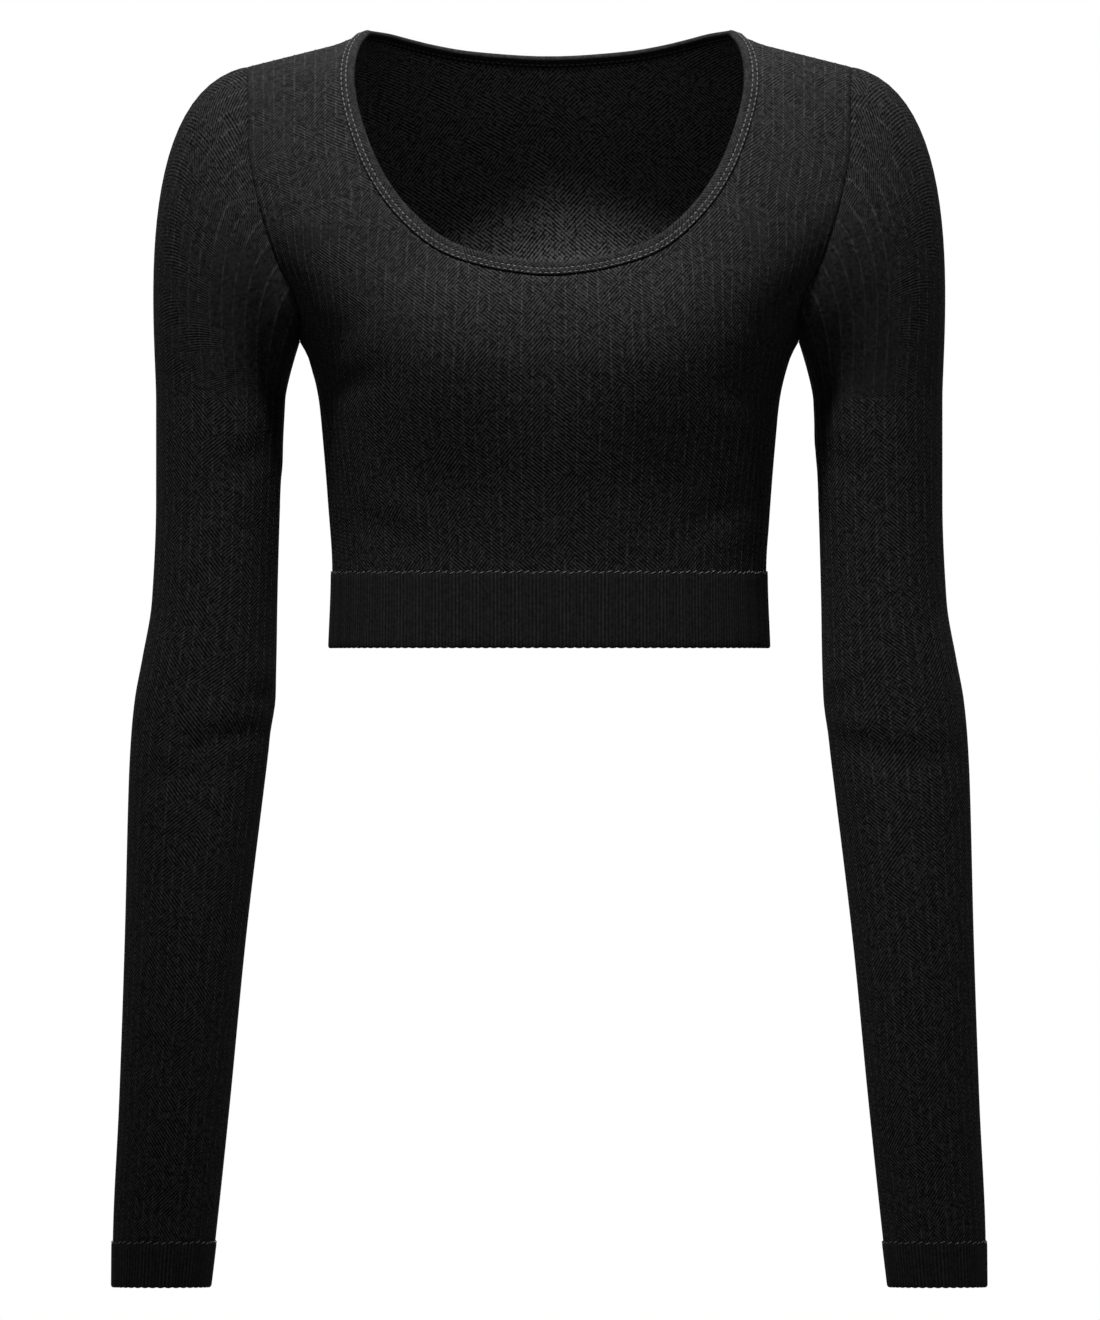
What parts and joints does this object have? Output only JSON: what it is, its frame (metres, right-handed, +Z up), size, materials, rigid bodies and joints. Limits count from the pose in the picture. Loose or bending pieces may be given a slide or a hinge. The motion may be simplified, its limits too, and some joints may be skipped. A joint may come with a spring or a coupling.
{
  "type": "crop top",
  "caption": "Long-sleeved, scoop-necked crop top in a fine black rib knit, with a bound neck, a deep hem band and cuffs, filled out as if worn.",
  "frame": {"origin": "midway between the two points where the neckline crosses the shoulders, where the wearer holds it up", "axes": "+Z up the body, -Y the front of the garment, +X towards the wearer's left"},
  "size_m": [0.4722, 0.2044, 0.678],
  "materials": {
    "rib_knit": "matt fine rib knit",
    "binding_knit": "matt folded knit strip",
    "band_knit": "matt double knit band"
  },
  "bodies": {
    "root": {"body_front": "rib_knit", "body_back": "rib_knit", "sleeve_left": "rib_knit", "sleeve_right": "rib_knit", "neck_binding": "binding_knit", "hem_band": "band_knit", "cuff_left": "band_knit", "cuff_right": "band_knit"}
  },
  "joints": []
}
